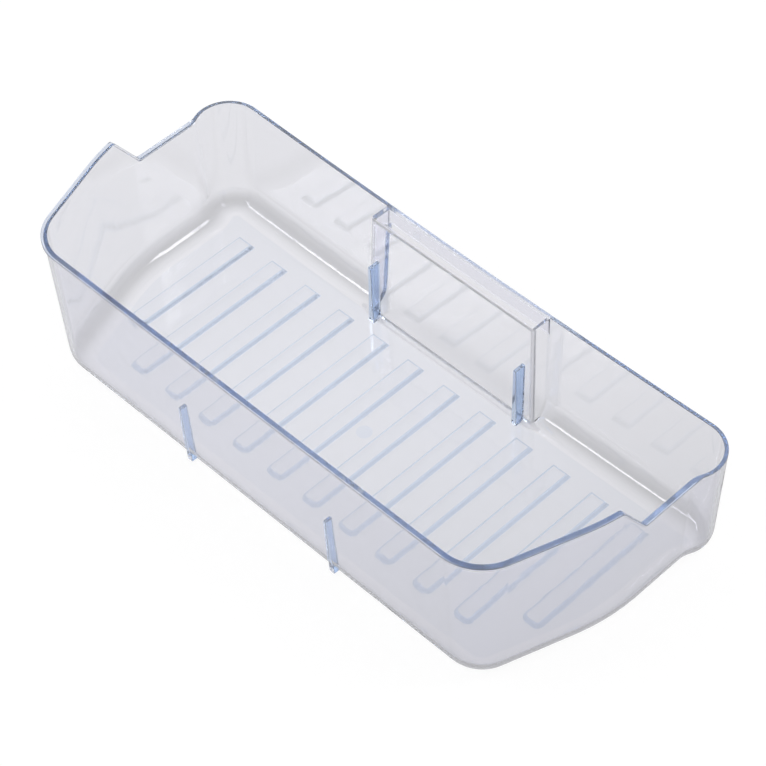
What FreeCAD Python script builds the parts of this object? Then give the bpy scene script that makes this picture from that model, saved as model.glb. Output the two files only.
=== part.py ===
import FreeCAD, Part

# Clear moulded refrigerator bin: a stepped rim, a channel up its back wall and a ribbed floor.
# It is one injection-moulded piece. Sizes are in millimetres and degrees. The origin is on the
# underside, below the middle of the bounding box; +X runs along the bin, +Y to its back wall
# and +Z up.
import math
import os

import Sketcher

NODE = "moulded_bin"

DRIVING_SIZES = [
    # plan of the outer wall faces, measured level with the front rim
    ("half_length", 172.2, "centre to end wall, along the straight rear part"),
    ("depth", 155.2, "front wall to back wall"),
    ("flare", 18.8, "angle by which the front part of each end wall turns in"),
    ("flare_round", 119.0, "radius between the turned-in part and the straight part"),
    ("straight_start", 91.3, "front wall to where the straight part begins"),
    ("jog", 3.35, "step out of each end wall at the rear corner, where the bead ends"),
    ("jog_round", 12.0, "radius of the hollow where that step begins"),
    ("back_bow", 1.65, "how far the back wall bows in at its middle"),
    # heights above the underside
    ("front_height", 91.3, "top of the front rim"),
    ("rear_height", 69.0, "top of the rear rim"),
    # walls and rounds
    ("wall", 2.0, "side walls and the walls of the channel"),
    ("floor_thick", 2.0, "floor"),
    ("draft", 2.85, "lean of every outer wall"),
    ("base_round", 14.0, "round between the walls and the underside"),
    ("front_foot_corner", 7.0, "corner radius of the flat underside, front"),
    ("rear_foot_corner", 1.8, "corner radius of the flat underside, rear"),
    # rim; its bead runs along the front and the ends, and not round the rear corners
    ("bead", 1.3, "how far the rim bead stands out"),
    ("bead_height", 1.9, "height of the rim bead"),
    ("ramp_start", 71.9, "front wall to the top of the ramp between the two rims"),
    ("ramp_run", 15.5, "length of that ramp, front to back"),
    ("ramp_round", 3.0, "radius at both ends of the ramp"),
    # channel in the back wall, open below and, under the lip, to the back
    ("channel_half", 55.3, "centre to the inside face of a channel side wall, at the rim"),
    ("channel_reach", 15.1, "back wall to the channel's front face, at the rim"),
    ("channel_plate", 2.0, "plate that closes the channel's top"),
    ("channel_lip", 12.0, "height of the back wall's strip that runs across the channel"),
    ("channel_draft", 1.8, "lean of the channel's walls"),
    ("channel_round", 2.0, "radius of the channel's front edges"),
    # ribs on the floor
    ("rib_pitch", 25.0, "rib to rib"),
    ("rib_count", 10, "full ribs; one short rib follows at each end"),
    ("rib_width", 12.0, "rib at the floor"),
    ("rib_rise", 2.1, "rib height"),
    ("rib_lean", 27.6, "lean of a rib's sides"),
    ("rib_front", 27.0, "front wall to the front end of a full rib"),
    ("rib_back", 126.6, "front wall to the back end of every rib"),
    ("short_rib_front", 47.5, "front wall to the front end of a short rib"),
    ("rib_end_round", 4.0, "corner radius at the front end of a rib"),
    # divider fins
    ("fin_spread", 50.0, "centre to each fin"),
    ("fin_top", 41.8, "underside to the top of a fin"),
    ("fin_width", 2.0, "fin at its top"),
    ("fin_draft", 0.95, "lean of a fin's two sides"),
    ("front_fin_depth", 4.0, "how far a front fin stands off the front wall"),
    ("rear_fin_depth", 5.3, "how far a rear fin stands off the channel"),
    # boss over the injection point
    ("gate_place", 76.95, "front wall to the middle of the boss"),
    ("gate_radius", 4.2, "boss radius"),
    ("gate_rise", 0.5, "boss height"),
]

OVERSHOOT = 20.0  # how far a cutting tool reaches past what it cuts
SUNK = 1.0  # how far a rib, fin or boss is sunk into the wall that carries it

doc = FreeCAD.newDocument("refrigerator_bin")
dims = doc.addObject("Spreadsheet::Sheet", "dims")
for row, (alias, value, note) in enumerate(DRIVING_SIZES, start=1):
    dims.set(f"A{row}", note)
    dims.set(f"B{row}", str(value))
    dims.setAlias(f"B{row}", alias)
doc.recompute()


# ---- places shared by several features, as expressions on the driving sizes ----

def lean_over(height, angle="dims.draft"):
    """How far a drafted face moves sideways over a height."""
    return f"(({height}) * tan({angle}))"


RIM_STEP = "(dims.front_height - dims.rear_height)"
FRONT_Y = f"(({lean_over(RIM_STEP)} + dims.bead - dims.depth) / 2)"
BACK_Y = f"({FRONT_Y} + dims.depth)"
CHANNEL_FACE_Y = f"({BACK_Y} - {lean_over(RIM_STEP)} - dims.channel_reach)"
TOP_CORNER = f"(dims.base_round + {lean_over('dims.front_height')})"


# ---- helpers ----

def new_body(name):
    body = doc.addObject("PartDesign::Body", name)
    body.Label = name
    return body


def new_sketch(body, name, role, offset):
    """A sketch on one of the body's own origin planes, moved along the plane's normal."""
    sketch = body.newObject("Sketcher::SketchObject", name)
    plane = next(feature for feature in body.Origin.OriginFeatures if feature.Role == role)
    sketch.AttachmentSupport = [(plane, "")]
    sketch.MapMode = "FlatFace"
    sketch.setExpression(".AttachmentOffset.Base.z", offset)
    return sketch


def drive(sketch, name, expression, *constraint):
    """Add a dimension to a sketch and bind it to an expression."""
    sketch.renameConstraint(sketch.addConstraint(Sketcher.Constraint(*constraint)), name)
    sketch.setExpression(f"Constraints.{name}", expression)


def polygon(body, name, role, offset, corners):
    """A closed sketch whose corners each stand at a bound x and y, listed anticlockwise."""
    sketch = new_sketch(body, name, role, offset)
    turn = 2 * math.pi / len(corners)
    rough = [FreeCAD.Vector(math.cos(i * turn), math.sin(i * turn), 0) * 10
             for i in range(len(corners))]
    for i, start in enumerate(rough):
        sketch.addGeometry(Part.LineSegment(start, rough[(i + 1) % len(rough)]), False)
    for i, (x, y) in enumerate(corners):
        sketch.addConstraint(Sketcher.Constraint("Coincident", i - 1 if i else len(corners) - 1, 2, i, 1))
        drive(sketch, f"x{i}", x, "DistanceX", -1, 1, i, 1, rough[i].x)
        drive(sketch, f"y{i}", y, "DistanceY", -1, 1, i, 1, rough[i].y)
    return sketch


def pad(body, sketch, length, taper="0", down=False, both_ways=False):
    feature = body.newObject("PartDesign::Pad", f"{sketch.Name}_pad")
    feature.Profile = sketch
    feature.Reversed = down
    feature.Midplane = both_ways
    feature.setExpression("Length", length)
    feature.setExpression("TaperAngle", taper)
    sketch.Visibility = False
    doc.recompute()
    return feature


def draft_sides(body, base, angle):
    """Lean all side faces of a pad inwards, from its top face down."""
    faces = list(enumerate(base.Shape.Faces, start=1))
    top = base.Shape.BoundBox.ZMax
    feature = body.newObject("PartDesign::Draft", f"{base.Name}_draft")
    feature.Base = (base, [f"Face{i}" for i, face in faces if face.BoundBox.ZLength > 1e-4])
    feature.NeutralPlane = (base, [f"Face{i}" for i, face in faces
                                   if face.BoundBox.ZMin > top - 1e-4])
    feature.Reversed = True
    feature.setExpression("Angle", angle)
    doc.recompute()
    return feature


def fillet(body, base, radius, chosen):
    """Round the edges of the base feature that `chosen` picks."""
    names = [f"Edge{i}" for i, edge in enumerate(base.Shape.Edges, start=1) if chosen(edge)]
    feature = body.newObject("PartDesign::Fillet", f"{base.Name}_fillet")
    feature.Base = (base, names)
    feature.setExpression("Radius", radius)
    doc.recompute()
    return feature


def at_height(height):
    return lambda edge: all(abs(v.Z - height) < 1e-4 for v in edge.Vertexes)


def drafted_block(name, foot, top):
    """A block between two level rectangles, each a (z, x low, x high, y low, y high)."""
    block = doc.addObject("Part::Wedge", name)
    block.Placement.Rotation = FreeCAD.Rotation(FreeCAD.Vector(1, 0, 0), 90)
    for end, (z, x_low, x_high, y_low, y_high) in (("", foot), ("2", top)):
        block.setExpression(f"X{end}min", x_low)
        block.setExpression(f"X{end}max", x_high)
        block.setExpression(f"Z{end}min", f"-({y_high})")
        block.setExpression(f"Z{end}max", f"-({y_low})")
        block.setExpression("Ymax" if end else "Ymin", z)
    doc.recompute()
    return block


def boolean(kind, name, **inputs):
    feature = doc.addObject(kind, name)
    for prop, value in inputs.items():
        setattr(feature, prop, value)
    doc.recompute()
    return feature


# ---- plan of the bin ----

def plan_sketch(body, name, inset):
    """The plan at the level of the front rim, drawn `inset` inside the outer wall faces.

    Anticlockwise: front wall, corner, turned-in wall, bend, straight wall, hollow of the step,
    rear corner, bowed back wall, and the same again down the left side.
    """
    sketch = new_sketch(body, name, "XY_Plane", "dims.front_height")
    lean = math.tan(math.radians(dims.draft))
    front = ((dims.front_height - dims.rear_height) * lean + dims.bead - dims.depth) / 2
    back = front + dims.depth
    front_r = dims.base_round + dims.front_foot_corner + dims.front_height * lean
    rear_r = dims.base_round + dims.rear_foot_corner + dims.front_height * lean
    turn = math.radians(dims.flare)
    bend_y = front + dims.straight_start
    bend_x = dims.half_length - dims.flare_round
    bend_start = FreeCAD.Vector(bend_x + dims.flare_round * math.cos(turn),
                                bend_y - dims.flare_round * math.sin(turn), 0)
    corner_y = front + front_r
    run = (bend_start.y - corner_y + front_r * math.sin(turn)) / math.cos(turn)
    corner_end = bend_start - FreeCAD.Vector(math.sin(turn), math.cos(turn), 0) * run
    corner_x = corner_end.x - front_r * math.cos(turn)
    rear_x = dims.half_length + dims.jog - rear_r
    hollow_x = dims.half_length + dims.jog_round
    rise = math.sqrt((dims.jog_round + rear_r) ** 2 - (hollow_x - rear_x) ** 2)
    hollow_y = back - rear_r - rise
    swing = math.degrees(math.asin(rise / (dims.jog_round + rear_r)))
    bow_r = (rear_x ** 2 + dims.back_bow ** 2) / (2 * dims.back_bow) - rear_r
    bow_y = back - dims.back_bow + bow_r
    bow_swing = math.degrees(math.asin(rear_x / (bow_r + rear_r)))

    def arc(x, y, radius, start, end):
        circle = Part.Circle(FreeCAD.Vector(x, y, 0), FreeCAD.Vector(0, 0, 1), radius)
        return Part.ArcOfCircle(circle, math.radians(start), math.radians(end))

    def line(x0, y0, x1, y1):
        return Part.LineSegment(FreeCAD.Vector(x0, y0, 0), FreeCAD.Vector(x1, y1, 0))

    right = [
        arc(corner_x, corner_y, front_r, -90, -dims.flare),
        line(corner_end.x, corner_end.y, bend_start.x, bend_start.y),
        arc(bend_x, bend_y, dims.flare_round, -dims.flare, 0),
        line(dims.half_length, bend_y, dims.half_length, hollow_y),
        arc(hollow_x, hollow_y, dims.jog_round, 180 - swing, 180),
        arc(rear_x, back - rear_r, rear_r, -swing, 90 + bow_swing),
    ]
    left = [
        arc(-rear_x, back - rear_r, rear_r, 90 - bow_swing, 180 + swing),
        arc(-hollow_x, hollow_y, dims.jog_round, 0, swing),
        line(-dims.half_length, hollow_y, -dims.half_length, bend_y),
        arc(-bend_x, bend_y, dims.flare_round, 180, 180 + dims.flare),
        line(-bend_start.x, bend_start.y, -corner_end.x, corner_end.y),
        arc(-corner_x, corner_y, front_r, 180 + dims.flare, 270),
    ]
    outline = [line(-corner_x, front, corner_x, front), *right,
               arc(0, bow_y, bow_r, 270 - bow_swing, 270 + bow_swing), *left]
    sketch.addGeometry(outline, False)
    hollows = (5, 7, 9)  # drawn anticlockwise but walked clockwise, so their ends are swapped
    for i in range(len(outline)):
        j = (i + 1) % len(outline)
        leave, enter = (1 if i in hollows else 2), (2 if j in hollows else 1)
        sketch.addConstraint(Sketcher.Constraint("Tangent", i, leave, j, enter))
    sketch.addConstraint(Sketcher.Constraint("Horizontal", 0))
    drive(sketch, "front", f"{FRONT_Y} + {inset}", "DistanceY", -1, 1, 0, 1, front)
    middle = sketch.addGeometry(Part.Point(FreeCAD.Vector(0, back - dims.back_bow, 0)), True)
    for curve in (7, -2):  # the back wall and the sketch's vertical axis
        sketch.addConstraint(Sketcher.Constraint("PointOnObject", middle, 1, curve))
    drive(sketch, "bow", f"{BACK_Y} - dims.back_bow - {inset}",
          "DistanceY", -1, 1, middle, 1, back - dims.back_bow)
    sides = (("right", 1, (1, 2, 3, 4, 5, 6), 1), ("left", -1, (13, 12, 11, 10, 9, 8), 2))
    for side, sign, (corner, flared, bend, straight, hollow, rear), low_end in sides:
        sketch.addConstraint(Sketcher.Constraint("Vertical", straight))
        drive(sketch, f"{side}_x", f"{sign} * (dims.half_length - {inset})",
              "DistanceX", -1, 1, straight, 1, sign * dims.half_length)
        drive(sketch, f"{side}_bend_y", f"{FRONT_Y} + dims.straight_start",
              "DistanceY", -1, 1, straight, low_end, bend_y)
        drive(sketch, f"{side}_flare", f"{sign} * (90 - dims.flare) * 1deg",
              "Angle", flared, math.radians(sign * (90 - dims.flare)))
        drive(sketch, f"{side}_front_round", f"{TOP_CORNER} + dims.front_foot_corner - {inset}",
              "Radius", corner, front_r)
        drive(sketch, f"{side}_flare_round", f"dims.flare_round - {inset}",
              "Radius", bend, dims.flare_round)
        drive(sketch, f"{side}_hollow_round", f"dims.jog_round + {inset}",
              "Radius", hollow, dims.jog_round)
        drive(sketch, f"{side}_rear_round", f"{TOP_CORNER} + dims.rear_foot_corner - {inset}",
              "Radius", rear, rear_r)
        drive(sketch, f"{side}_rear_x",
              f"{sign} * (dims.half_length + dims.jog - {TOP_CORNER} - dims.rear_foot_corner)",
              "DistanceX", -1, 1, rear, 3, sign * rear_x)
        drive(sketch, f"{side}_rear_y", f"{BACK_Y} - {TOP_CORNER} - dims.rear_foot_corner",
              "DistanceY", -1, 1, rear, 3, back - rear_r)
    return sketch


def tapered_form(name, inset, bottom, rounded):
    """A solid with the bin's plan, drafted down from the front rim to the height `bottom`."""
    body = new_body(name)
    sketch = plan_sketch(body, f"{name}_plan", inset)
    block = pad(body, sketch, f"dims.front_height - {bottom}", down=True)
    solid = draft_sides(body, block, "dims.draft")
    if rounded:
        low = solid.Shape.BoundBox.ZMin
        solid = fillet(body, solid, rounded, at_height(low))
    return body


# ---- rim: a line that steps down from the front to the rear ----

def above_rim(name, drop):
    """All that lies above the rim, or above a line `drop` below the rim."""
    body = new_body(name)
    far_front, far_back = f"{FRONT_Y} - {OVERSHOOT}", f"{BACK_Y} + {OVERSHOOT}"
    high, low = f"dims.front_height - {drop}", f"dims.rear_height - {drop}"
    ramp_top = f"{FRONT_Y} + dims.ramp_start"
    ramp_foot = f"{ramp_top} + dims.ramp_run"
    ceiling = f"dims.front_height + {OVERSHOOT}"
    side = polygon(body, f"{name}_side", "YZ_Plane", "0",
                   [(far_front, high), (ramp_top, high), (ramp_foot, low), (far_back, low),
                    (far_back, ceiling), (far_front, ceiling)])
    reach = f"2 * (dims.half_length + dims.jog + dims.bead + {OVERSHOOT})"
    solid = pad(body, side, reach, both_ways=True)
    ends = {side.getPoint(1, 1).x, side.getPoint(2, 1).x}
    fillet(body, solid, "dims.ramp_round",
           lambda edge: any(all(abs(v.Y - y) < 1e-4 for v in edge.Vertexes) for y in ends)
           and edge.BoundBox.ZLength < 1e-4)
    return body


# ---- channel: a box-shaped recess in the back wall ----

def channel_form(name, inset, datum, low, high, behind):
    """A block as wide as the channel less `inset` at the height `datum`, widening downwards."""
    def section(height):
        spread = lean_over(f"{datum} - ({height})", "dims.channel_draft")
        half = f"(dims.channel_half - {inset} + {spread})"
        return height, f"-{half}", half, f"{CHANNEL_FACE_Y} + {inset} - {spread}", behind

    return drafted_block(name, section(low), section(high))


def channel_outside():
    """The channel's outside with its top front edge and its two upright front edges rounded."""
    block = channel_form("channel_block", "0", "dims.rear_height", "0", "dims.rear_height",
                         f"{BACK_Y} + {OVERSHOOT}")
    body = new_body("channel_outside")
    body.BaseFeature = block
    base = body.Group[0]
    base.Placement = block.Placement
    doc.recompute()
    middle = base.Shape.BoundBox.Center
    fillet(body, base, "dims.channel_round",
           lambda edge: edge.BoundBox.YMax < middle.y and edge.BoundBox.ZMax > middle.z)
    return body


def channel_recess():
    """The space in the channel, open to the back below the lip; the lip stands upright inside."""
    top = "(dims.rear_height - dims.channel_plate)"
    edge = "(dims.rear_height - dims.channel_lip)"
    lip_face = f"{BACK_Y} - dims.back_bow - {lean_over(f'dims.front_height - {top}')} - dims.wall"
    below = channel_form("below_lip", "dims.wall", top, f"(-{OVERSHOOT})", edge,
                         f"{BACK_Y} + {OVERSHOOT}")
    head = channel_form("before_lip", "dims.wall", top, edge, top, lip_face)
    return boolean("Part::MultiFuse", "channel_recess", Shapes=[below, head])


# ---- what stands on the floor and the walls ----

def rib_sketch(body, name, centre, front):
    """One rib's plan on the floor: square at the back, round-cornered at the front."""
    sketch = new_sketch(body, name, "XY_Plane", "dims.floor_thick")
    half, long_y, end_r = dims.rib_width / 2, dims.rib_back, dims.rib_end_round

    def corner(x, start):
        circle = Part.Circle(FreeCAD.Vector(x, end_r, 0), FreeCAD.Vector(0, 0, 1), end_r)
        return Part.ArcOfCircle(circle, start, start + math.pi / 2)

    def line(x0, y0, x1, y1):
        return Part.LineSegment(FreeCAD.Vector(x0, y0, 0), FreeCAD.Vector(x1, y1, 0))

    inner = half - end_r
    sketch.addGeometry([
        line(-inner, 0, inner, 0), corner(inner, -math.pi / 2),
        line(half, end_r, half, long_y), line(half, long_y, -half, long_y),
        line(-half, long_y, -half, end_r), corner(-inner, math.pi),
    ], False)
    for i, j in ((0, 1), (1, 2), (4, 5), (5, 0)):
        sketch.addConstraint(Sketcher.Constraint("Tangent", i, 2, j, 1))
    for i, j in ((2, 3), (3, 4)):
        sketch.addConstraint(Sketcher.Constraint("Coincident", i, 2, j, 1))
    for kind, index in (("Horizontal", 0), ("Vertical", 2), ("Horizontal", 3), ("Vertical", 4)):
        sketch.addConstraint(Sketcher.Constraint(kind, index))
    drive(sketch, "round_right", "dims.rib_end_round", "Radius", 1, end_r)
    drive(sketch, "round_left", "dims.rib_end_round", "Radius", 5, end_r)
    drive(sketch, "right", f"{centre} + dims.rib_width / 2", "DistanceX", -1, 1, 2, 1, half)
    drive(sketch, "left", f"{centre} - dims.rib_width / 2", "DistanceX", -1, 1, 4, 1, -half)
    drive(sketch, "front", f"{FRONT_Y} + {front}", "DistanceY", -1, 1, 0, 1, 0)
    drive(sketch, "back", f"{FRONT_Y} + dims.rib_back", "DistanceY", -1, 1, 3, 1, long_y)
    return sketch


def full_ribs():
    body = new_body("full_ribs")
    first = rib_sketch(body, "full_rib_plan", "-(dims.rib_count - 1) / 2 * dims.rib_pitch",
                       "dims.rib_front")
    rib = pad(body, first, "dims.rib_rise", "-dims.rib_lean")
    row = body.newObject("PartDesign::LinearPattern", "rib_row")
    row.Originals = [rib]
    row.Direction = (first, ["H_Axis"])
    row.setExpression("Length", "(dims.rib_count - 1) * dims.rib_pitch")
    row.setExpression("Occurrences", "dims.rib_count")
    body.Tip = row
    doc.recompute()
    return body


def short_ribs():
    body = new_body("short_ribs")
    plan = rib_sketch(body, "short_rib_plan", "(dims.rib_count + 1) / 2 * dims.rib_pitch",
                      "dims.short_rib_front")
    rib = pad(body, plan, "dims.rib_rise", "-dims.rib_lean")
    twin = body.newObject("PartDesign::Mirrored", "short_rib_twin")
    twin.Originals = [rib]
    twin.MirrorPlane = (plan, ["V_Axis"])
    body.Tip = twin
    doc.recompute()
    return body


def fin_pair(name, low, high):
    """Two upright fins; `low` and `high` give the y of their two faces at a height."""
    foot_height = f"(dims.floor_thick - {SUNK})"
    half_top = "dims.fin_width / 2"
    half_foot = f"({half_top} + {lean_over(f'dims.fin_top - {foot_height}', 'dims.fin_draft')})"

    def section(side, height, half):
        centre = f"{side} * dims.fin_spread"
        return height, f"{centre} - {half}", f"{centre} + {half}", low(height), high(height)

    return [drafted_block(f"{name}_{word}", section(side, foot_height, half_foot),
                          section(side, "dims.fin_top", half_top))
            for word, side in (("left", -1), ("right", 1))]


def front_fins():
    def wall_face(height):
        return f"({FRONT_Y} + dims.wall + {lean_over(f'dims.front_height - {height}')})"

    return fin_pair("front_fin", lambda height: f"{wall_face(height)} - {SUNK}",
                    lambda height: f"{wall_face(height)} + dims.front_fin_depth")


def rear_fins():
    def channel_face(height):
        spread = lean_over(f"dims.rear_height - {height}", "dims.channel_draft")
        return f"({CHANNEL_FACE_Y} - {spread})"

    edge = f"{channel_face('dims.floor_thick')} - dims.rear_fin_depth"
    return fin_pair("rear_fin", lambda height: edge,
                    lambda height: f"{channel_face(height)} + {SUNK}")


def gate_boss():
    """A shallow dome: the cap of a sphere that rises through the floor."""
    curve = "((dims.gate_radius ^ 2 + dims.gate_rise ^ 2) / (2 * dims.gate_rise))"
    ball = doc.addObject("Part::Sphere", "gate_ball")
    ball.setExpression("Radius", curve)
    ball.setExpression(".Placement.Base.z", f"dims.floor_thick + dims.gate_rise - {curve}")
    ball.setExpression(".Placement.Base.y", f"{FRONT_Y} + dims.gate_place")
    slab = doc.addObject("Part::Cylinder", "gate_slab")
    slab.setExpression("Radius", f"dims.gate_radius + {SUNK}")
    slab.setExpression("Height", f"{SUNK} + dims.gate_rise")
    slab.setExpression(".Placement.Base.z", f"dims.floor_thick - {SUNK}")
    slab.setExpression(".Placement.Base.y", f"{FRONT_Y} + dims.gate_place")
    return boolean("Part::Common", "gate_boss", Base=ball, Tool=slab)


# ---- the moulding ----

def bead():
    """The rim's bead: straight along each end, it runs out where the end wall steps out past it."""
    outer = tapered_form("bead_form", "-dims.bead", "0", "")
    band = boolean("Part::Common", "bead_band", Base=outer,
                   Tool=above_rim("above_bead", "dims.bead_height"))
    rear = f"{BACK_Y} - {TOP_CORNER} - dims.rear_foot_corner"

    def section(height):
        half = f"(dims.half_length + dims.bead - {lean_over(f'dims.front_height - {height}')})"
        return height, f"-{half}", half, f"{FRONT_Y} - {OVERSHOOT}", rear

    reach = drafted_block("bead_reach", section("0"), section("dims.front_height"))
    return boolean("Part::Common", "bead", Base=band, Tool=reach)


def moulding():
    outside = tapered_form("outer_form", "0", "0", "dims.base_round")
    block = boolean("Part::MultiFuse", "block", Shapes=[outside, bead()])
    fins = boolean("Part::Compound", "fins", Links=front_fins() + rear_fins())
    fins_inside = boolean("Part::Common", "fins_inside", Base=fins, Tool=outside)
    inner_form = tapered_form("inner_form", "dims.wall", "dims.floor_thick",
                              "dims.base_round - dims.wall")
    cavity = boolean("Part::Cut", "cavity", Base=inner_form, Tool=channel_outside())
    hollow = boolean("Part::Cut", "hollow", Base=block, Tool=cavity)
    notched = boolean("Part::Cut", "notched", Base=hollow, Tool=channel_recess())
    shell = boolean("Part::Cut", "shell", Base=notched, Tool=above_rim("above_the_rim", "0"))
    part = boolean("Part::MultiFuse", NODE,
                   Shapes=[shell, full_ribs(), short_ribs(), fins_inside, gate_boss()])
    part.Refine = True
    part.Label = NODE
    doc.recompute()
    return part


def check(part):
    broken = [item.Name for item in doc.Objects
              if any(word in str(item.State) for word in ("Invalid", "Error"))]
    if broken:
        raise RuntimeError(f"failed features: {broken}")
    shape = part.Shape
    if shape.isNull() or not shape.isValid() or len(shape.Solids) != 1:
        raise RuntimeError(f"{part.Label}: null, not valid or not one solid")


bin_part = moulding()
check(bin_part)
os.makedirs("parts", exist_ok=True)
bin_part.Shape.exportStep(f"parts/{bin_part.Label}.step")
box = bin_part.Shape.BoundBox
print(f"{bin_part.Label}: {box.XLength:.1f} x {box.YLength:.1f} x {box.ZLength:.1f} mm,"
      f" {bin_part.Shape.Volume / 1000:.1f} cm3, {len(bin_part.Shape.Faces)} faces")
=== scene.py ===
import math

import bmesh
import bpy
from mathutils import Matrix, Vector


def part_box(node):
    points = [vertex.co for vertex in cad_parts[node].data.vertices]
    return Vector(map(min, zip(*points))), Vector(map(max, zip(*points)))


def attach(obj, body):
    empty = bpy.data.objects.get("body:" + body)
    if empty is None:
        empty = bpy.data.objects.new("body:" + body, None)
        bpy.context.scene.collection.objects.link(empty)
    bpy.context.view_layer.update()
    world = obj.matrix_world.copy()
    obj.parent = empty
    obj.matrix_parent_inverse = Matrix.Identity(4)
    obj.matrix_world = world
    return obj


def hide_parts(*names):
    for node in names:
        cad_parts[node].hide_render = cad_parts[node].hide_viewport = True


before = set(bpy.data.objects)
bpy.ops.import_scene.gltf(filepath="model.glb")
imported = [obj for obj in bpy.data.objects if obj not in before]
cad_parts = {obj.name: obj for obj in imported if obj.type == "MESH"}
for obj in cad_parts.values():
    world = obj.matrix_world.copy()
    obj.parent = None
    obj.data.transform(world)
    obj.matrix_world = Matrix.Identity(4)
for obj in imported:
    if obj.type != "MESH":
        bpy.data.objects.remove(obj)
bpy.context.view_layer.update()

MM = 0.001

# ---- camera ----
VIEW_AZIMUTH = math.radians(46.63)  # from the front towards the right end
VIEW_ELEVATION = math.radians(48.81)
VIEW_ROLL = math.radians(-2.21)
VIEW_DISTANCE = 1.19277
VIEW_AIM = Vector((0.07188, -0.05333, 0.14028))
LENS_MM = 128.546
SENSOR_MM = 36.0
SEEN_AS_FAR_AS = 20.0


def make_camera():
    data = bpy.data.cameras.new("studio_camera")
    data.sensor_width = SENSOR_MM
    data.lens = LENS_MM
    camera = bpy.data.objects.new("studio_camera", data)
    bpy.context.scene.collection.objects.link(camera)
    turn = (Matrix.Rotation(VIEW_AZIMUTH, 3, "Z") @ Matrix.Rotation(math.pi / 2 - VIEW_ELEVATION, 3, "X")
            @ Matrix.Rotation(VIEW_ROLL, 3, "Z"))
    back = turn @ Vector((0, 0, 1))
    camera.matrix_world = Matrix.Translation(VIEW_AIM + back * VIEW_DISTANCE) @ turn.to_4x4()
    data.clip_end = SEEN_AS_FAR_AS
    bpy.context.scene.camera = camera


# ---- node helpers ----

def new_material(name):
    material = bpy.data.materials.new(name)
    material.use_nodes = True
    material.node_tree.nodes.clear()
    return material, material.node_tree


def add(tree, kind, **values):
    node = tree.nodes.new(kind)
    for key, value in values.items():
        if key in node.inputs:
            node.inputs[key].default_value = value
        else:
            setattr(node, key, value)
    return node


def add_math(tree, operation, a, b):
    node = add(tree, "ShaderNodeMath", operation=operation)
    for socket, value in zip(node.inputs, (a, b)):
        if isinstance(value, (int, float)):
            socket.default_value = value
        else:
            tree.links.new(value, socket)
    return node.outputs[0]


def pick(tree, chosen, other, value):
    """A number: `value` for the rays that are chosen, `other` for the rest."""
    node = add(tree, "ShaderNodeMix", data_type="FLOAT")
    for socket, given in zip(node.inputs[:1] + node.inputs[2:4], (chosen, other, value)):
        if isinstance(given, (int, float)):
            socket.default_value = given
        else:
            tree.links.new(given, socket)
    return node.outputs[0]


# ---- clear plastic ----
MARKS = ("painted_shade", "haze", "rests")  # the mesh's face attributes, each from 0 to 1, as marks() gives them
PLASTIC_IOR = 1.52
RESTING_IOR = 1.32  # of the faces that rest on the table, which lets more light out of them
PLASTIC_COLOUR = (0.965, 0.962, 1.0, 1.0)
# painted blue shade on the rim, fins, rib sides, gate, cut edges and underside: it stands in for the blue
# that light picks up on its long way inside the plastic seen edge-on, and is not the plastic's own colour
PAINTED_SHADE_COLOUR = (0.52, 0.67, 0.93, 1.0)
FIN_PAINTED_SHADE = 1.0
RIB_SIDE_PAINTED_SHADE = 0.65
GATE_PAINTED_SHADE = 0.25
RIM_PAINTED_SHADE = 0.60
CUT_EDGE_PAINTED_SHADE = 0.8  # the back wall's edges at the channel's opening
UNDERSIDE_PAINTED_SHADE = 0.12
CLEARNESS = (0.985, 0.55)  # polished, and fully hazy
RIB_SIDE_HAZE = 0.45
UNDERSIDE_HAZE = 0.05
RIM_HAZE = 0.03
BACK_RIM_HAZE = 0.35
CUT_EDGE_HAZE = 0.35
CHANNEL_ROUND_HAZE = 1.0
TINT = (0.20, 0.42, 0.74, 1.0)  # along a path inside the plastic
TINT_DENSITY = 6.25
ROUGHNESS = (0.02, 0.05)
HAZY_ROUGHNESS = 0.30
WAVE_SCALE = 55.0  # waves about 18 mm long, as moulded walls have
WAVE_DEPTH = 0.0001
WAVE_DETAIL = 2.0


def clear_plastic():
    material, tree = new_material("clear_plastic")
    out = add(tree, "ShaderNodeOutputMaterial")
    surface = add(tree, "ShaderNodeBsdfPrincipled", IOR=PLASTIC_IOR)
    inside = add(tree, "ShaderNodeVolumeAbsorption", Color=TINT, Density=TINT_DENSITY)
    # the painted blue shade of the edges is mixed into the base colour
    painted_shade, haze, rests = [add(tree, "ShaderNodeAttribute", attribute_name=name).outputs["Fac"]
                         for name in MARKS]
    colour = add(tree, "ShaderNodeMixRGB", Color1=PLASTIC_COLOUR, Color2=PAINTED_SHADE_COLOUR)
    where = add(tree, "ShaderNodeTexCoord")
    waves = add(tree, "ShaderNodeTexNoise", Scale=WAVE_SCALE, Detail=WAVE_DETAIL)
    rough = add(tree, "ShaderNodeMapRange", **{"To Min": ROUGHNESS[0], "To Max": ROUGHNESS[1]})
    bump = add(tree, "ShaderNodeBump", Strength=1.0, Distance=WAVE_DEPTH)
    tree.links.new(painted_shade, colour.inputs["Fac"])
    tree.links.new(colour.outputs[0], surface.inputs["Base Color"])
    tree.links.new(where.outputs["Object"], waves.inputs["Vector"])
    tree.links.new(waves.outputs[0], rough.inputs["Value"])
    tree.links.new(waves.outputs[0], bump.inputs["Height"])
    tree.links.new(pick(tree, haze, rough.outputs["Result"], HAZY_ROUGHNESS), surface.inputs["Roughness"])
    tree.links.new(pick(tree, haze, *CLEARNESS), surface.inputs["Transmission Weight"])
    tree.links.new(pick(tree, rests, PLASTIC_IOR, RESTING_IOR), surface.inputs["IOR"])
    tree.links.new(bump.outputs["Normal"], surface.inputs["Normal"])
    tree.links.new(surface.outputs["BSDF"], out.inputs["Surface"])
    tree.links.new(inside.outputs["Volume"], out.inputs["Volume"])
    return material


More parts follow.
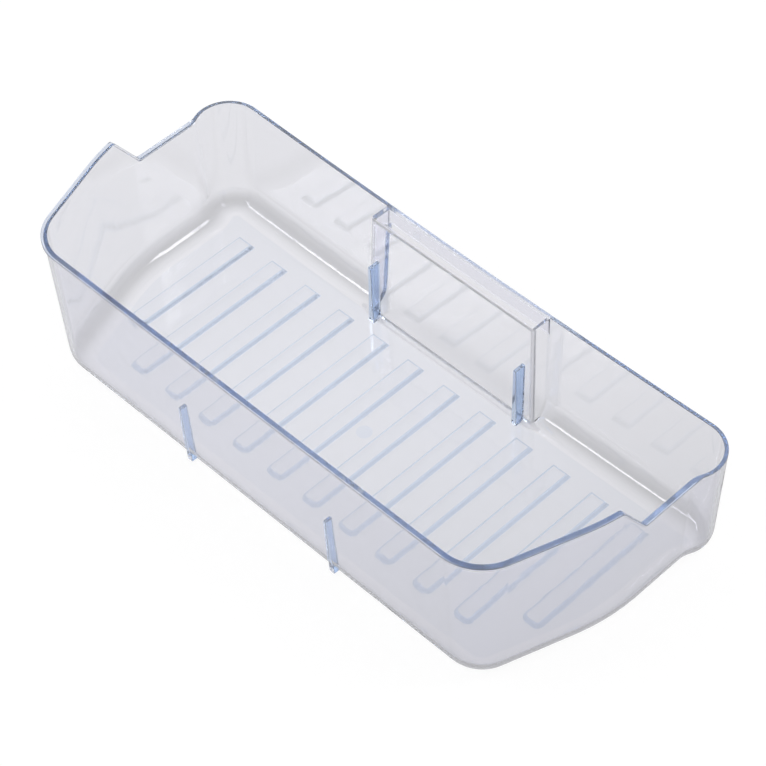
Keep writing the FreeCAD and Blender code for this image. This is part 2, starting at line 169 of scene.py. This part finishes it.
# ---- sizes of the moulding, in millimetres and degrees, as in the frame ----
LOW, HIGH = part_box("moulded_bin")
FRONT_HEIGHT = HIGH.z / MM  # rim at the front
REAR_HEIGHT = 69.0  # rim at the back
WALL = 2.0
FLOOR = 2.0
DRAFT = math.radians(2.85)
BEAD_OUT = 1.3
BEAD_HEIGHT = 1.9
BEAD_HOLLOW = 0.3  # the hollow round under it
RIM_BAND = 0.3  # what lies as near as this to the rim's height has the rim's colour
RIM_BELOW = 1.5  # how far under the bead the rim's section starts
HALF_LENGTH = 172.2  # to the straight part of an end wall, level with the front rim
DEPTH = 155.2
FRONT_Y = LOW.y / MM + BEAD_OUT
BACK_Y = FRONT_Y + DEPTH
FLARE = math.radians(18.8)  # the front part of an end wall turns in
FLARE_ROUND = 119.0
STRAIGHT_START = FRONT_Y + 91.3
JOG = 3.35  # step out of an end wall before the rear corner
JOG_ROUND = 12.0
BACK_BOW = 1.65
BASE_ROUND = 14.0
FRONT_FOOT_CORNER = 7.0
REAR_FOOT_CORNER = 1.8
RAMP_TOP = FRONT_Y + 71.9
RAMP_FOOT = RAMP_TOP + 15.5
RAMP_ROUND = 3.0
RIM_ROUND = 0.45  # edges of the rim
CHANNEL_HALF = 55.3
CHANNEL_REACH = 15.1
CHANNEL_PLATE = 2.0
CHANNEL_LIP = 12.0  # strip of the back wall across the channel
CHANNEL_DRAFT = math.radians(1.8)
CHANNEL_ROUND = 2.0
CHANNEL_FOOT_ROUND = 3.0
CHANNEL_EDGE_ROUND = 0.4  # the small rounds of its plate and lip
RIB_PITCH = 25.0
RIB_COUNT = 10
RIB_WIDTH = 12.0
RIB_RISE = 2.1
RIB_LEAN = math.radians(27.6)
RIB_FRONT = FRONT_Y + 27.0
RIB_BACK = FRONT_Y + 126.6
SHORT_RIB_FRONT = FRONT_Y + 47.5
RIB_END_ROUND = 4.0
RIB_EDGE_ROUND = 1.0
RIB_FOOT_ROUND = 0.7
RIB_BACK_ROUND = 0.6
FIN_SPREAD = 50.0
FIN_TOP = 41.8
FIN_WIDTH = 2.0
FIN_DRAFT = math.radians(0.95)
FRONT_FIN_DEPTH = 4.0
REAR_FIN_DEPTH = 5.3
FIN_ROUND = 0.35
GATE_Y = FRONT_Y + 76.95
GATE_RADIUS = 4.2
GATE_RISE = 0.5
GATE_SKIRT = 0.8  # how far the boss's cap runs on under the floor
SUNK = 0.5  # how far a rib and the channel reach into the floor
OVERSHOOT = 20.0  # how far a cutting tool reaches past what it cuts
HAIR = 0.02  # a step too small to see
LEAST_ROUND = 0.05  # of a rib's corners at its top
NEAR = 0.1  # a face whose middle is as near as this lies on a surface

ARC_STEP = math.radians(3.0)  # turn between two points of a round
BOW_STEPS = 20
BEND_STEPS = 14
RAMP_ROUND_STEP = 0.4  # between stations at the ramp's rounds
RAMP_ROUND_STEPS = 6  # to each side of a round's middle
SHARP_ANGLE = math.radians(32)  # an edge that turns more stays sharp


# ---- mesh helpers ----

def mesh_object(name, verts, faces):
    mesh = bpy.data.meshes.new(name)
    mesh.from_pydata([Vector(v) * MM for v in verts], [], faces)
    made = bpy.data.objects.new(name, mesh)
    bpy.context.scene.collection.objects.link(made)
    return made


def edit(made, work):
    """Run work(bm) on an object's mesh."""
    bm = bmesh.new()
    bm.from_mesh(made.data)
    work(bm)
    bm.to_mesh(made.data)
    bm.free()


def lofted(name, rings):
    """A closed mesh through rings of equal length, with a face over the first and the last."""
    count = len(rings[0])
    verts = [point for ring in rings for point in ring]
    faces = []
    for i in range(len(rings) - 1):
        for j in range(count):
            k = (j + 1) % count
            faces.append((i * count + j, i * count + k, (i + 1) * count + k, (i + 1) * count + j))
    faces.append(tuple(range(count))[::-1])
    faces.append(tuple(range((len(rings) - 1) * count, len(rings) * count)))
    made = mesh_object(name, verts, faces)

    def close(bm):
        bmesh.ops.remove_doubles(bm, verts=bm.verts, dist=1e-7)
        bmesh.ops.recalc_face_normals(bm, faces=bm.faces)

    edit(made, close)
    return made


def round_edges(made, radius, segments, chosen):
    """Round the edges for which chosen(edge) is true; its vertices are in millimetres."""
    def work(bm):
        edges = [e for e in bm.edges if chosen(*[v.co / MM for v in e.verts])]
        bmesh.ops.bevel(bm, geom=edges, offset=radius * MM, offset_type="OFFSET", segments=segments,
                        profile=0.5, affect="EDGES", clamp_overlap=True)
    edit(made, work)
    return made


def combine(base, tool, operation):
    modifier = base.modifiers.new("combine", "BOOLEAN")
    modifier.operation = operation
    modifier.solver = "EXACT"
    modifier.object = tool
    bpy.context.view_layer.update()
    result = bpy.data.meshes.new_from_object(base.evaluated_get(bpy.context.evaluated_depsgraph_get()))
    base.modifiers.clear()
    base.data = result
    bpy.data.objects.remove(tool)


# ---- plan and rim ----

def lean(height):
    """How far in the drafted wall has moved at a height."""
    return (FRONT_HEIGHT - height) * math.tan(DRAFT)


def plan_right():
    """The right half of the plan from the front wall's middle to the back wall's, as stations.

    A station is (centre x, centre y, radius, side, angle): its place is the centre plus
    radius - side * inset along the angle, so that side is 1 on an outward round, -1 on a hollow.
    """
    top_corner = BASE_ROUND + FRONT_HEIGHT * math.tan(DRAFT)
    front_r = top_corner + FRONT_FOOT_CORNER
    rear_r = top_corner + REAR_FOOT_CORNER
    bend = Vector((HALF_LENGTH - FLARE_ROUND, STRAIGHT_START))
    along = Vector((math.sin(FLARE), math.cos(FLARE)))
    outward = Vector((math.cos(FLARE), -math.sin(FLARE)))
    front_centre_y = FRONT_Y + front_r
    run = (bend.y + FLARE_ROUND * outward.y - front_centre_y - front_r * outward.y) / along.y
    corner = bend + outward * (FLARE_ROUND - front_r) - along * run
    rear = Vector((HALF_LENGTH + JOG - rear_r, BACK_Y - rear_r))
    hollow_x = HALF_LENGTH + JOG_ROUND
    reach = JOG_ROUND + rear_r
    rise = math.sqrt(reach ** 2 - (hollow_x - rear.x) ** 2)
    swing = math.asin(rise / reach)
    bow_r = (rear.x ** 2 + BACK_BOW ** 2) / (2 * BACK_BOW) - rear_r
    bow_y = BACK_Y - BACK_BOW + bow_r
    bow_swing = math.asin(rear.x / (bow_r + rear_r))

    def arc(x, y, radius, side, start, end, count=0):
        count = count or max(2, math.ceil(abs(end - start) / ARC_STEP))
        return [(x, y, radius, side, start + (end - start) * i / count) for i in range(count + 1)]

    quarter = math.pi / 2
    stations = arc(corner.x, corner.y, front_r, 1, -quarter, -FLARE)
    for y in bend_places(bend.y, bend.y + FLARE_ROUND * outward.y):
        stations.append((bend.x, bend.y, FLARE_ROUND, 1, -math.asin((bend.y - y) / FLARE_ROUND)))
    stations += arc(hollow_x, rear.y - rise, JOG_ROUND, -1, math.pi, math.pi - swing)
    stations += arc(rear.x, rear.y, rear_r, 1, -swing, quarter + bow_swing)[1:]
    stations += arc(0, bow_y, bow_r, -1, bow_swing - quarter, -quarter, BOW_STEPS)[1:]
    return stations


def bend_places(end, start):
    """The y of the stations along the bend, close together where the ramp's two rounds lie."""
    places = [start + (end - start) * i / BEND_STEPS for i in range(BEND_STEPS + 1)]
    for centre in (RAMP_TOP, RAMP_FOOT):
        places += [centre + RAMP_ROUND_STEP * i for i in range(-RAMP_ROUND_STEPS, RAMP_ROUND_STEPS + 1)]
    places = sorted(y for y in places if y <= end)
    kept = [places[0]]
    for y in places[1:]:
        if y - kept[-1] > RAMP_ROUND_STEP / 3:
            kept.append(y)
    kept[-1] = end
    return kept


def place(station, inset):
    x, y, radius, side, angle = station
    reach = radius - side * inset
    return x + reach * math.cos(angle), y + reach * math.sin(angle)


def whole_ring(right):
    """The points of the right half and their mirror images, anticlockwise from the front wall."""
    return right + [(-x, y, z) for x, y, z in right[-2::-1]]


def level_ring(stations, inset, z):
    return whole_ring([(*place(station, inset), z) for station in stations])


def rim_height(y):
    """The rim's height at a place from front to back: high, a ramp with two rounds, low."""
    slope = math.atan2(FRONT_HEIGHT - REAR_HEIGHT, RAMP_FOOT - RAMP_TOP)
    tangent = RAMP_ROUND * math.tan(slope / 2)
    if y <= RAMP_TOP - tangent:
        return FRONT_HEIGHT
    if y < RAMP_TOP + tangent * math.cos(slope):
        return FRONT_HEIGHT - RAMP_ROUND + math.sqrt(RAMP_ROUND ** 2 - (y - RAMP_TOP + tangent) ** 2)
    if y <= RAMP_FOOT - tangent * math.cos(slope):
        return FRONT_HEIGHT - (y - RAMP_TOP) * math.tan(slope)
    if y < RAMP_FOOT + tangent:
        return REAR_HEIGHT + RAMP_ROUND - math.sqrt(RAMP_ROUND ** 2 - (RAMP_FOOT + tangent - y) ** 2)
    return REAR_HEIGHT


def quarter_turns(count):
    """Angles from nothing to a quarter turn."""
    return [math.pi / 2 * i / count for i in range(count + 1)]


def quarter_round(x, y, radius, start, turn, count=4):
    """Points of a quarter circle, angles in degrees."""
    return [(x + radius * math.cos(math.radians(start + turn * i / count)),
             y + radius * math.sin(math.radians(start + turn * i / count))) for i in range(count + 1)]


def bead_width(station):
    """The bead runs straight along an end wall, out where the wall steps past it; the back has none."""
    x, _, radius, side, angle = station
    if side * angle > 0:
        return 0.0
    reach = side * ((HALF_LENGTH + BEAD_OUT - x) / math.cos(angle) - radius)
    return min(BEAD_OUT, max(0.0, reach))


def rim_section(bead):
    """The rim's section from the outside over the top to the inside, as (step in, drop)."""
    r, part = RIM_ROUND, bead / BEAD_OUT
    hollow = quarter_round(-BEAD_HOLLOW, BEAD_HEIGHT + BEAD_HOLLOW, BEAD_HOLLOW, 0, -90, 3)
    lower_edge = quarter_round(r, BEAD_HEIGHT - r, r, 90, 90)
    return [(0, BEAD_HEIGHT + RIM_BELOW),
            *[(x * part, y) for x, y in hollow],
            *[(x * part - bead, y) for x, y in lower_edge],
            *quarter_round(r - bead, r, r, 180, 90),
            *quarter_round(WALL - r, r, r, 270, 90),
            (WALL, BEAD_HEIGHT + RIM_BELOW)]


def foot_round(radius, inset, height, count=14):
    """The round between a wall and a floor, from the wall down, as (step in, height)."""
    centre = inset + lean(height + radius) + radius / math.cos(DRAFT)
    return [(centre - radius * math.cos(a), height + radius - radius * math.sin(a))
            for a in [DRAFT + (math.pi / 2 - DRAFT) * i / count for i in range(count + 1)]]


def rim_point(station, step, drop):
    z = rim_height(place(station, 0)[1]) - drop
    return (*place(station, step + lean(z)), z)


def shell():
    """The walls and the floor with their rounds and the bead, before anything is let in."""
    stations = plan_right()
    rings = [level_ring(stations, inset, z) for inset, z in reversed(foot_round(BASE_ROUND, 0, 0))]
    sections = [rim_section(bead_width(station)) for station in stations]
    for level in zip(*sections):
        rings.append(whole_ring([rim_point(station, *at) for station, at in zip(stations, level)]))
    rings += [level_ring(stations, inset, z) for inset, z in foot_round(BASE_ROUND - WALL, WALL, FLOOR)]
    return lofted("bin_moulding", rings)


# ---- channel ----

def tapered_block(name, foot, top):
    """A block between two level rectangles, each (z, x low, x high, y low, y high)."""
    rings = []
    for z, x0, x1, y0, y1 in (foot, top):
        rings.append([(x0, y0, z), (x1, y0, z), (x1, y1, z), (x0, y1, z)])
    return lofted(name, rings)


def channel_face(z, inset=0.0, top=REAR_HEIGHT):
    return BACK_Y - (FRONT_HEIGHT - REAR_HEIGHT) * math.tan(DRAFT) - CHANNEL_REACH + inset \
        - (top - z) * math.tan(CHANNEL_DRAFT)


def channel_side(z, inset=0.0, top=REAR_HEIGHT):
    return CHANNEL_HALF - inset + (top - z) * math.tan(CHANNEL_DRAFT)


def channel_ring(z, half, face, radius, waist, back):
    """A level section with round front corners, a point at the waist of each side and a straight back."""
    return [(x, y, z) for x, y in quarter_round(radius - half, face + radius, radius, 180, 90, 6)
            + quarter_round(half - radius, face + radius, radius, 270, 90, 6)
            + [(half, waist), (half, back), (-half, back), (-half, waist)]]


def inner_face(x, z):
    """The back wall's inner face."""
    rear_x = HALF_LENGTH + JOG - BASE_ROUND - FRONT_HEIGHT * math.tan(DRAFT) - REAR_FOOT_CORNER
    radius = (rear_x ** 2 + BACK_BOW ** 2) / (2 * BACK_BOW) - (HALF_LENGTH + JOG - rear_x)
    return BACK_Y - BACK_BOW + radius - math.sqrt((radius + WALL + lean(z)) ** 2 - x ** 2)


def round_over(z, top, radius):
    """How far a round under a top has come in at a height."""
    return radius - math.sqrt(radius ** 2 - max(0.0, z - top + radius) ** 2)


def wall_middle(z):
    """How far in the middle of a wall's thickness lies at a height, also in the base round."""
    if z >= BASE_ROUND:
        return lean(z) + WALL / 2
    centre = lean(BASE_ROUND) + BASE_ROUND / math.cos(DRAFT)
    return centre - math.sqrt((BASE_ROUND - WALL / 2) ** 2 - (BASE_ROUND - z) ** 2)


def channel_outside():
    """The channel's outside; its front edges are rounded and its foot runs out on the floor."""
    foot, edge = CHANNEL_FOOT_ROUND, CHANNEL_ROUND
    foot_top = FLOOR + foot
    levels = [(FLOOR - SUNK, foot), (FLOOR - HAIR, foot)]
    levels += [(FLOOR + foot * (1 - math.cos(a)), foot * (1 - math.sin(a))) for a in quarter_turns(9)[1:]]
    levels += [(foot_top + (BASE_ROUND - foot_top) * i / 6, 0) for i in range(1, 7)]
    levels += [(REAR_HEIGHT - edge * (1 - math.sin(a)), 0) for a in quarter_turns(8)]
    rings = []
    for z, out in levels:
        over = round_over(z, REAR_HEIGHT, edge)
        side = round_over(z, REAR_HEIGHT, CHANNEL_EDGE_ROUND)
        radius = max(edge + out - over, CHANNEL_EDGE_ROUND / 2)
        front = channel_face(z) - out + over
        behind = BACK_Y - BACK_BOW - wall_middle(z)
        rings.append(channel_ring(z, channel_side(z) + out - side, front, radius,
                                  (front + radius + behind) / 2, behind))
    return lofted("channel_outside", rings)


def channel_recess():
    """The space in the channel, open to the back below the lip; the lip stands upright inside."""
    top = REAR_HEIGHT - CHANNEL_PLATE
    edge = REAR_HEIGHT - CHANNEL_LIP
    lip_face = inner_face(0, top)
    r = CHANNEL_EDGE_ROUND

    def section(z, back):
        over = round_over(z, top, r)
        return channel_ring(z, channel_side(z, WALL, top) - over, channel_face(z, WALL, top) + over, r,
                            min(back, lip_face + r), back)

    rings = [section(-OVERSHOOT, BACK_Y + OVERSHOOT), section(edge, BACK_Y + OVERSHOOT)]
    for a in quarter_turns(4):
        rings.append(section(edge + r * (1 - math.cos(a)), lip_face + r * (1 - math.sin(a))))
    for a in quarter_turns(4):
        rings.append(section(top - r * (1 - math.sin(a)), lip_face - r * (1 - math.cos(a))))
    return lofted("channel_recess", rings)


# ---- ribs, fins and gate ----

def rib_side():
    """The rib's side as (step in, height), with a hollow round at its foot and a round at its top."""
    turn = math.pi / 2 - RIB_LEAN
    side = [(0, FLOOR - SUNK), (0, FLOOR - HAIR)]
    r = RIB_FOOT_ROUND
    for i in range(1, 6):
        a = turn * i / 5
        side.append((r * math.sin(a), FLOOR + r - r * math.cos(a)))
    r = RIB_EDGE_ROUND
    corner = RIB_FOOT_ROUND * math.tan(turn / 2) + RIB_RISE * math.tan(RIB_LEAN)
    end = corner + r * math.tan(turn / 2)
    for i in range(6):
        a = turn * (1 - i / 5)
        side.append((end - r * math.sin(a), FLOOR + RIB_RISE - r + r * math.cos(a)))
    return side


def rib(name, front):
    """One rib, its foot a little below the floor."""
    half = RIB_WIDTH / 2

    def ring(inset, z):
        points = []
        corners = [(half, front, RIB_END_ROUND, -90), (half, RIB_BACK, RIB_BACK_ROUND, 0),
                   (-half, RIB_BACK, RIB_BACK_ROUND, 90), (-half, front, RIB_END_ROUND, 180)]
        for x, y, radius, start in corners:
            r = max(radius - inset, LEAST_ROUND)
            side = 1 if x > 0 else -1
            end = 1 if y > front else -1
            points += [(px, py, z) for px, py in
                       quarter_round(x - side * (inset + r), y - end * (inset + r), r, start, 90, 6)]
        return points

    return lofted(name, [ring(inset, z) for inset, z in rib_side()])


def row_tree():
    """A node tree that sets copies of its geometry in a row, evenly about the middle."""
    tree = bpy.data.node_groups.new("rib_row", "GeometryNodeTree")
    face = tree.interface
    face.new_socket("Geometry", in_out="INPUT", socket_type="NodeSocketGeometry")
    for name, kind in (("Count", "NodeSocketInt"), ("Pitch", "NodeSocketFloat"),
                       ("Plastic", "NodeSocketMaterial")):
        face.new_socket(name, in_out="INPUT", socket_type=kind)
    face.new_socket("Geometry", in_out="OUTPUT", socket_type="NodeSocketGeometry")
    link = tree.links.new
    into = tree.nodes.new("NodeGroupInput")
    out = tree.nodes.new("NodeGroupOutput")
    less = add(tree, "ShaderNodeMath", operation="MULTIPLY_ADD")
    less.inputs[1].default_value = -0.5
    less.inputs[2].default_value = 0.5
    start = add(tree, "ShaderNodeMath", operation="MULTIPLY")
    begin = tree.nodes.new("ShaderNodeCombineXYZ")
    step = tree.nodes.new("ShaderNodeCombineXYZ")
    line = tree.nodes.new("GeometryNodeMeshLine")
    copies = tree.nodes.new("GeometryNodeInstanceOnPoints")
    real = tree.nodes.new("GeometryNodeRealizeInstances")
    paint = tree.nodes.new("GeometryNodeSetMaterial")
    link(into.outputs["Count"], less.inputs[0])
    link(less.outputs[0], start.inputs[0])
    link(into.outputs["Pitch"], start.inputs[1])
    link(start.outputs[0], begin.inputs["X"])
    link(into.outputs["Pitch"], step.inputs["X"])
    link(into.outputs["Count"], line.inputs["Count"])
    link(begin.outputs[0], line.inputs["Start Location"])
    link(step.outputs[0], line.inputs["Offset"])
    link(line.outputs["Mesh"], copies.inputs["Points"])
    link(into.outputs["Geometry"], copies.inputs["Instance"])
    link(copies.outputs["Instances"], real.inputs["Geometry"])
    link(real.outputs["Geometry"], paint.inputs["Geometry"])
    link(into.outputs["Plastic"], paint.inputs["Material"])
    link(paint.outputs["Geometry"], out.inputs["Geometry"])
    return tree


def in_row(made, tree, plastic, count, pitch):
    modifier = made.modifiers.new("row", "NODES")
    modifier.node_group = tree
    values = {"Count": count, "Pitch": pitch * MM, "Plastic": plastic}
    for item in tree.interface.items_tree:
        if item.item_type == "SOCKET" and item.in_out == "INPUT" and item.name in values:
            modifier[item.identifier] = values[item.name]
    bpy.context.view_layer.update()
    made.data = bpy.data.meshes.new_from_object(
        made.evaluated_get(bpy.context.evaluated_depsgraph_get()))
    made.modifiers.clear()
    return made


def fin(name, side, low, high):
    """One fin; low(z) and high(z) are the y of its two ends."""
    def section(z):
        half = FIN_WIDTH / 2 + (FIN_TOP - z) * math.tan(FIN_DRAFT)
        return z, side * FIN_SPREAD - half, side * FIN_SPREAD + half, low(z), high(z)

    block = tapered_block(name, section(FLOOR - WALL / 2), section(FIN_TOP))
    return round_edges(block, FIN_ROUND, 3, lambda a, b: max(a.z, b.z) > FIN_TOP - NEAR)


def fins():
    def wall_face(z):
        return FRONT_Y + WALL + lean(z)

    made = []
    for side in (-1, 1):
        made.append(fin("front_fin", side, lambda z: wall_face(z) - WALL / 2,
                        lambda z: wall_face(z) + FRONT_FIN_DEPTH))
        made.append(fin("rear_fin", side, lambda z: channel_face(FLOOR) - REAR_FIN_DEPTH,
                        lambda z: channel_face(z) + WALL / 2))
    return made


def gate():
    """The cap of a sphere over the injection point."""
    radius = (GATE_RADIUS ** 2 + GATE_RISE ** 2) / (2 * GATE_RISE)
    edge = math.asin((GATE_RADIUS + GATE_SKIRT) / radius)
    rings = []
    for i in range(9):
        a = edge * (1 - i / 9)
        z = FLOOR + GATE_RISE - radius * (1 - math.cos(a))
        rings.append([(radius * math.sin(a) * math.cos(t), GATE_Y + radius * math.sin(a) * math.sin(t), z)
                      for t in [math.tau * k / 32 for k in range(32)]])
    return lofted("gate", rings)


def on_rib_side(x, y, z):
    from_rib = abs(x % RIB_PITCH - RIB_PITCH / 2)
    front = RIB_FRONT if abs(x) < RIB_COUNT / 2 * RIB_PITCH else SHORT_RIB_FRONT
    among_ribs = abs(x) < (RIB_COUNT + 2) / 2 * RIB_PITCH and front - NEAR < y < RIB_BACK + NEAR
    return (among_ribs and from_rib < RIB_WIDTH / 2 + NEAR
            and FLOOR + HAIR / 2 < z < FLOOR + RIB_RISE - HAIR / 2)


def on_cut_edge(x, y, z):
    """On the back wall's edges at the channel's opening."""
    inner_side = channel_side(z, WALL, REAR_HEIGHT - CHANNEL_PLATE)
    return abs(abs(x) - inner_side) < NEAR and y > inner_face(x, z) + NEAR


def on_fin(x, y, z):
    on_front = HAIR < y - FRONT_Y - WALL - lean(z) < FRONT_FIN_DEPTH + NEAR
    on_rear = channel_face(FLOOR) - REAR_FIN_DEPTH - NEAR < y < channel_face(z) - HAIR
    return (abs(abs(x) - FIN_SPREAD) < FIN_WIDTH and FLOOR + NEAR < z < FIN_TOP + NEAR
            and (on_front or on_rear))


def on_channel_round(x, y, z):
    """On the channel's edges, or on the hollow round at its foot."""
    from_side = channel_side(z) - abs(x)
    from_face = channel_face(z) - y
    on_edge = -CHANNEL_ROUND < from_face < -HAIR and from_side > HAIR \
        and (z > REAR_HEIGHT - CHANNEL_ROUND or from_side < CHANNEL_ROUND)
    at_foot = z < FLOOR + CHANNEL_FOOT_ROUND and from_side > -CHANNEL_FOOT_ROUND \
        and -CHANNEL_ROUND < from_face < CHANNEL_FOOT_ROUND
    return z > FLOOR + HAIR / 2 and (on_edge or at_foot)


def marks(face):
    """How much painted blue shade and how much haze a face has, and whether it rests on the table."""
    x, y, z = face.center / MM
    if z < HAIR / 2:
        return UNDERSIDE_PAINTED_SHADE, UNDERSIDE_HAZE, 1.0
    if on_rib_side(x, y, z):
        return RIB_SIDE_PAINTED_SHADE, RIB_SIDE_HAZE, 0.0
    if z > rim_height(y) - RIM_BAND:
        on_plate = abs(x) < CHANNEL_HALF and y < inner_face(x, z) - NEAR
        return 0.0 if on_plate else RIM_PAINTED_SHADE, BACK_RIM_HAZE if y > RAMP_FOOT else RIM_HAZE, 0.0
    if on_cut_edge(x, y, z):
        return CUT_EDGE_PAINTED_SHADE, CUT_EDGE_HAZE, 0.0
    if z > FLOOR + HAIR / 2 and math.hypot(x, y - GATE_Y) < GATE_RADIUS:
        return GATE_PAINTED_SHADE, 0.0, 0.0
    if on_fin(x, y, z):
        return FIN_PAINTED_SHADE, RIM_HAZE, 0.0
    return 0.0, CHANNEL_ROUND_HAZE if on_channel_round(x, y, z) else 0.0, 0.0


def moulding():
    plastic = clear_plastic()
    made = shell()
    combine(made, channel_outside(), "UNION")
    combine(made, channel_recess(), "DIFFERENCE")
    for tool in fins():
        combine(made, tool, "UNION")
    tree = row_tree()
    combine(made, in_row(rib("full_ribs", RIB_FRONT), tree, plastic, RIB_COUNT, RIB_PITCH), "UNION")
    combine(made, in_row(rib("short_ribs", SHORT_RIB_FRONT), tree, plastic, 2,
                         (RIB_COUNT + 1) * RIB_PITCH), "UNION")
    combine(made, gate(), "UNION")
    mesh = made.data
    mesh.materials.clear()
    mesh.materials.append(plastic)

    edit(made, lambda bm: bmesh.ops.remove_doubles(bm, verts=bm.verts, dist=1e-6))
    for name, values in zip(MARKS, zip(*[marks(face) for face in mesh.polygons])):
        mesh.attributes.new(name, "FLOAT", "FACE").data.foreach_set("value", values)
    mesh.polygons.foreach_set("use_smooth", [True] * len(mesh.polygons))
    mesh.set_sharp_from_angle(angle=SHARP_ANGLE)
    weights = made.modifiers.new("weights", "WEIGHTED_NORMAL")
    weights.keep_sharp = True
    weights.weight = 100
    weights.mode = "FACE_AREA"
    bpy.context.view_layer.update()
    made.data = bpy.data.meshes.new_from_object(
        made.evaluated_get(bpy.context.evaluated_depsgraph_get()))
    made.modifiers.clear()
    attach(made, "root")
    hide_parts("moulded_bin")
    return made


# ---- studio ----
TABLE_Z = -0.4  # the table's height below the bin's underside, in millimetres
TABLE_SIZE = 4000.0
TABLE_COLOUR = (0.15, 0.15, 0.15, 1)  # its share that the light and the shadows fall on
SEEN_LEVEL = 0.885  # with that share, white where no shadow lies
MIRRORED_LEVEL = 0.45
# painted light: the table's glow seen through the plastic is set lower than seen directly and falls off
# from the left to the right
THROUGH_LEVEL = (0.69, 0.53)  # through the plastic, from the left to the right, where the light falls off
FALL_ALONG = (1.0, -0.5, 0.0)
FALL_OFF = (-0.06, 0.24)
SHADE_DEPTH = 0.34  # of the strip of table that the walls stand over, through the plastic
# the strip is painted shade on the table, seen only through the plastic; a negative share paints the table
# lighter, a painted pool of light under the bin's floor
SHADE_STRIP = ((15.5, -0.3), (12, 0.1), (8, 0.8), (4, 1), (0, 0.7), (-4, 0.2), (-7, 0))  # (step in, share)
SHADE_LIFT = 0.1  # of the strip over the table
CHANNEL_SHADE = 0.35  # what is left of the shade under the channel
AROUND_LEVEL = 0.75
LAMP_DISTANCE = 2.0
LAMPS = (  # name, direction, width and height in metres, watts
    ("key_left", (-0.5, -0.55, 0.66), 1.2, 0.24, 4.6),
    ("key_right", (0.47, 0.42, 0.78), 0.24, 1.0, 3.8),
)
MOST_BOUNCES = 96  # light goes a long way inside clear walls


def table_material():
    material, tree = new_material("studio_table")
    out = add(tree, "ShaderNodeOutputMaterial")
    ray = add(tree, "ShaderNodeLightPath")
    where = add(tree, "ShaderNodeTexCoord")
    across = add(tree, "ShaderNodeVectorMath", operation="DOT_PRODUCT")
    across.inputs[1].default_value = FALL_ALONG
    fall = add(tree, "ShaderNodeMapRange", interpolation_type="SMOOTHSTEP", **{
        "From Min": FALL_OFF[0], "From Max": FALL_OFF[1],
        "To Min": THROUGH_LEVEL[0], "To Max": THROUGH_LEVEL[1]})
    shade = add(tree, "ShaderNodeAttribute", attribute_name="shade")
    lit = add(tree, "ShaderNodeBsdfDiffuse", Color=TABLE_COLOUR)
    glow = add(tree, "ShaderNodeEmission", Color=(1, 1, 1, 1))
    total = add(tree, "ShaderNodeAddShader")
    tree.links.new(where.outputs["Object"], across.inputs[0])
    tree.links.new(across.outputs["Value"], fall.inputs["Value"])
    left = add_math(tree, "SUBTRACT", 1.0, add_math(tree, "MULTIPLY", shade.outputs["Fac"], SHADE_DEPTH))
    through = add_math(tree, "MULTIPLY", fall.outputs["Result"], left)
    level = pick(tree, ray.outputs["Is Glossy Ray"], 0.0, MIRRORED_LEVEL)
    level = pick(tree, ray.outputs["Is Transmission Ray"], level, through)
    tree.links.new(pick(tree, ray.outputs["Is Camera Ray"], level, SEEN_LEVEL), glow.inputs["Strength"])
    tree.links.new(lit.outputs[0], total.inputs[0])
    tree.links.new(glow.outputs[0], total.inputs[1])
    tree.links.new(total.outputs[0], out.inputs["Surface"])
    return material


def table():
    """A plain table, with a strip of painted shade of its own under the walls, painted lighter at its
    inner edge.
    """
    material = table_material()
    half = TABLE_SIZE / 2
    corners = [(x, y, TABLE_Z) for x, y in ((-half, -half), (half, -half), (half, half), (-half, half))]
    stations = plan_right()
    rings = [level_ring(stations, inset, TABLE_Z + SHADE_LIFT) for inset, _ in SHADE_STRIP]
    count = len(rings[0])
    faces = [(i * count + j, i * count + (j + 1) % count, (i + 1) * count + (j + 1) % count,
              (i + 1) * count + j) for i in range(len(rings) - 1) for j in range(count)]
    faces.append(tuple(range(count)))
    strip = mesh_object("table_shade", [point for ring in rings for point in ring], faces)
    shade = strip.data.attributes.new("shade", "FLOAT", "POINT")
    shade.data.foreach_set("value", [share * (CHANNEL_SHADE if y > 0 and abs(x) < CHANNEL_HALF else 1)
                                     for (_, share), ring in zip(SHADE_STRIP, rings) for x, y, _ in ring])
    for made in (mesh_object("table", corners, [(0, 1, 2, 3)]), strip):
        made.data.materials.append(material)


def studio_world():
    world = bpy.data.worlds.new("studio")
    bpy.context.scene.world = world
    world.use_nodes = True
    tree = world.node_tree
    tree.nodes.clear()
    out = add(tree, "ShaderNodeOutputWorld")
    ray = add(tree, "ShaderNodeLightPath")
    light = add(tree, "ShaderNodeBackground", Color=(1, 1, 1, 1))
    seen = add_math(tree, "MAXIMUM", ray.outputs["Is Camera Ray"], ray.outputs["Is Transmission Ray"])
    tree.links.new(pick(tree, seen, AROUND_LEVEL, 1.0), light.inputs["Strength"])
    tree.links.new(light.outputs[0], out.inputs["Surface"])


def softbox(name, towards, width, height, power):
    data = bpy.data.lights.new(name, "AREA")
    data.shape = "RECTANGLE"
    data.size = width
    data.size_y = height
    data.energy = power
    lamp = bpy.data.objects.new(name, data)
    bpy.context.scene.collection.objects.link(lamp)
    direction = Vector(towards).normalized()
    lamp.rotation_mode = "QUATERNION"
    lamp.location = direction * LAMP_DISTANCE
    lamp.rotation_quaternion = direction.to_track_quat("Z", "Y")
    return lamp


make_camera()
moulding()
table()
studio_world()
for lamp in LAMPS:
    softbox(*lamp)

scene = bpy.context.scene
scene.view_settings.view_transform = "Standard"
scene.cycles.max_bounces = MOST_BOUNCES
scene.cycles.transmission_bounces = MOST_BOUNCES
scene.cycles.glossy_bounces = MOST_BOUNCES
